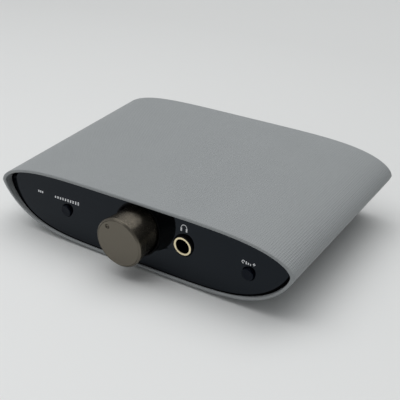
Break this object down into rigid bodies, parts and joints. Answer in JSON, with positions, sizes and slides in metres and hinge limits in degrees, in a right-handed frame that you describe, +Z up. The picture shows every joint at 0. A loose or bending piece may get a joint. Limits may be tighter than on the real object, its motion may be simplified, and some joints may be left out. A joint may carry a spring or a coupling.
{
  "type": "headphone amplifier",
  "caption": "Low desktop headphone amplifier: a rounded one-piece sleeve, a leaning glossy front with volume knob, push buttons and headphone socket, and a socket panel behind.",
  "frame": {"origin": "centre of the whole amplifier's bounding box, at the level of the surface it stands on", "axes": "+X to the right seen from the front, +Y from the front panel to the socket panel, +Z up"},
  "size_m": [0.158, 0.1164, 0.0353],
  "materials": {
    "shell_plastic": "satin grey, finely dimpled",
    "panel_gloss": "high gloss blue-black",
    "rear_plastic": "satin black",
    "foot_rubber": "matt black",
    "screw_steel": "blackened",
    "knob_metal": "satin bronze-grey anodised",
    "black_plastic": "satin black",
    "shaft_metal": "plain bright",
    "white_plastic": "plain white",
    "red_plastic": "plain red",
    "pot_plastic": "plain dark green",
    "track_plastic": "phenolic brown",
    "gold_plate": "polished gold plate",
    "button_plastic": "glossy black",
    "spring_steel": "bright wire",
    "board_laminate": "green solder mask",
    "can_sleeve": "dark blue shrink sleeve",
    "film_red": "red dipped box",
    "relay_plastic": "off-white",
    "ferrite": "dark grey"
  },
  "bodies": {
    "chassis": {"outer_shell": "shell_plastic", "front_panel": "panel_gloss", "rear_panel": "rear_plastic", "rubber_feet": "foot_rubber", "rear_panel_screws": "screw_steel", "bracket_screws": "screw_steel", "knob_well": "black_plastic", "pot_body": "pot_plastic", "pot_back_plate": "shaft_metal", "pot_tracks": "track_plastic", "pot_pins": "gold_plate", "phones_jack_body": "black_plastic", "phones_jack_collar": "black_plastic", "phones_jack_ring": "gold_plate", "phones_jack_contacts": "gold_plate", "gain_switch": "black_plastic", "bass_switch": "black_plastic", "gain_spring": "spring_steel", "bass_spring": "spring_steel", "switch_pins": "shaft_metal", "main_board": "board_laminate", "phono_block": "black_plastic", "phono_sleeves": "gold_plate", "phono_insulator_left": "white_plastic", "phono_insulator_right": "red_plastic", "phono_contacts": "gold_plate", "phono_screw": "screw_steel", "line_jack_body": "black_plastic", "line_jack_contacts": "gold_plate", "inlet_body": "black_plastic", "inlet_centre_pin": "shaft_metal", "inlet_contacts": "shaft_metal", "filter_capacitors": "can_sleeve", "film_capacitors": "film_red", "amplifier_chips": "black_plastic", "mute_relays": "relay_plastic", "power_inductors": "ferrite", "voltage_regulators": "black_plastic", "chip_resistors": "ferrite"},
    "volume_control": {"volume_knob": "knob_metal", "knob_hub": "black_plastic", "pot_shaft": "shaft_metal", "pot_rotors": "white_plastic"},
    "gain_push": {"gain_button": "button_plastic"},
    "bass_push": {"bass_button": "button_plastic"}
  },
  "joints": [
    {"name": "volume_turn", "type": "hinge", "parent": "chassis", "child": "volume_control", "pos_m": [-0.0004, 0, 0.0188], "axis": [0, 1, 0], "range_deg": [-114, 186]},
    {"name": "gain_press", "type": "slide", "parent": "chassis", "child": "gain_push", "axis": [0, 1, 0], "range_m": [0, 0.001], "stiffness_N_per_m": 600, "springref_m": -0.0015, "deforming": ["gain_spring"]},
    {"name": "bass_press", "type": "slide", "parent": "chassis", "child": "bass_push", "axis": [0, 1, 0], "range_m": [0, 0.001], "stiffness_N_per_m": 600, "springref_m": -0.0015, "deforming": ["bass_spring"]}
  ]
}
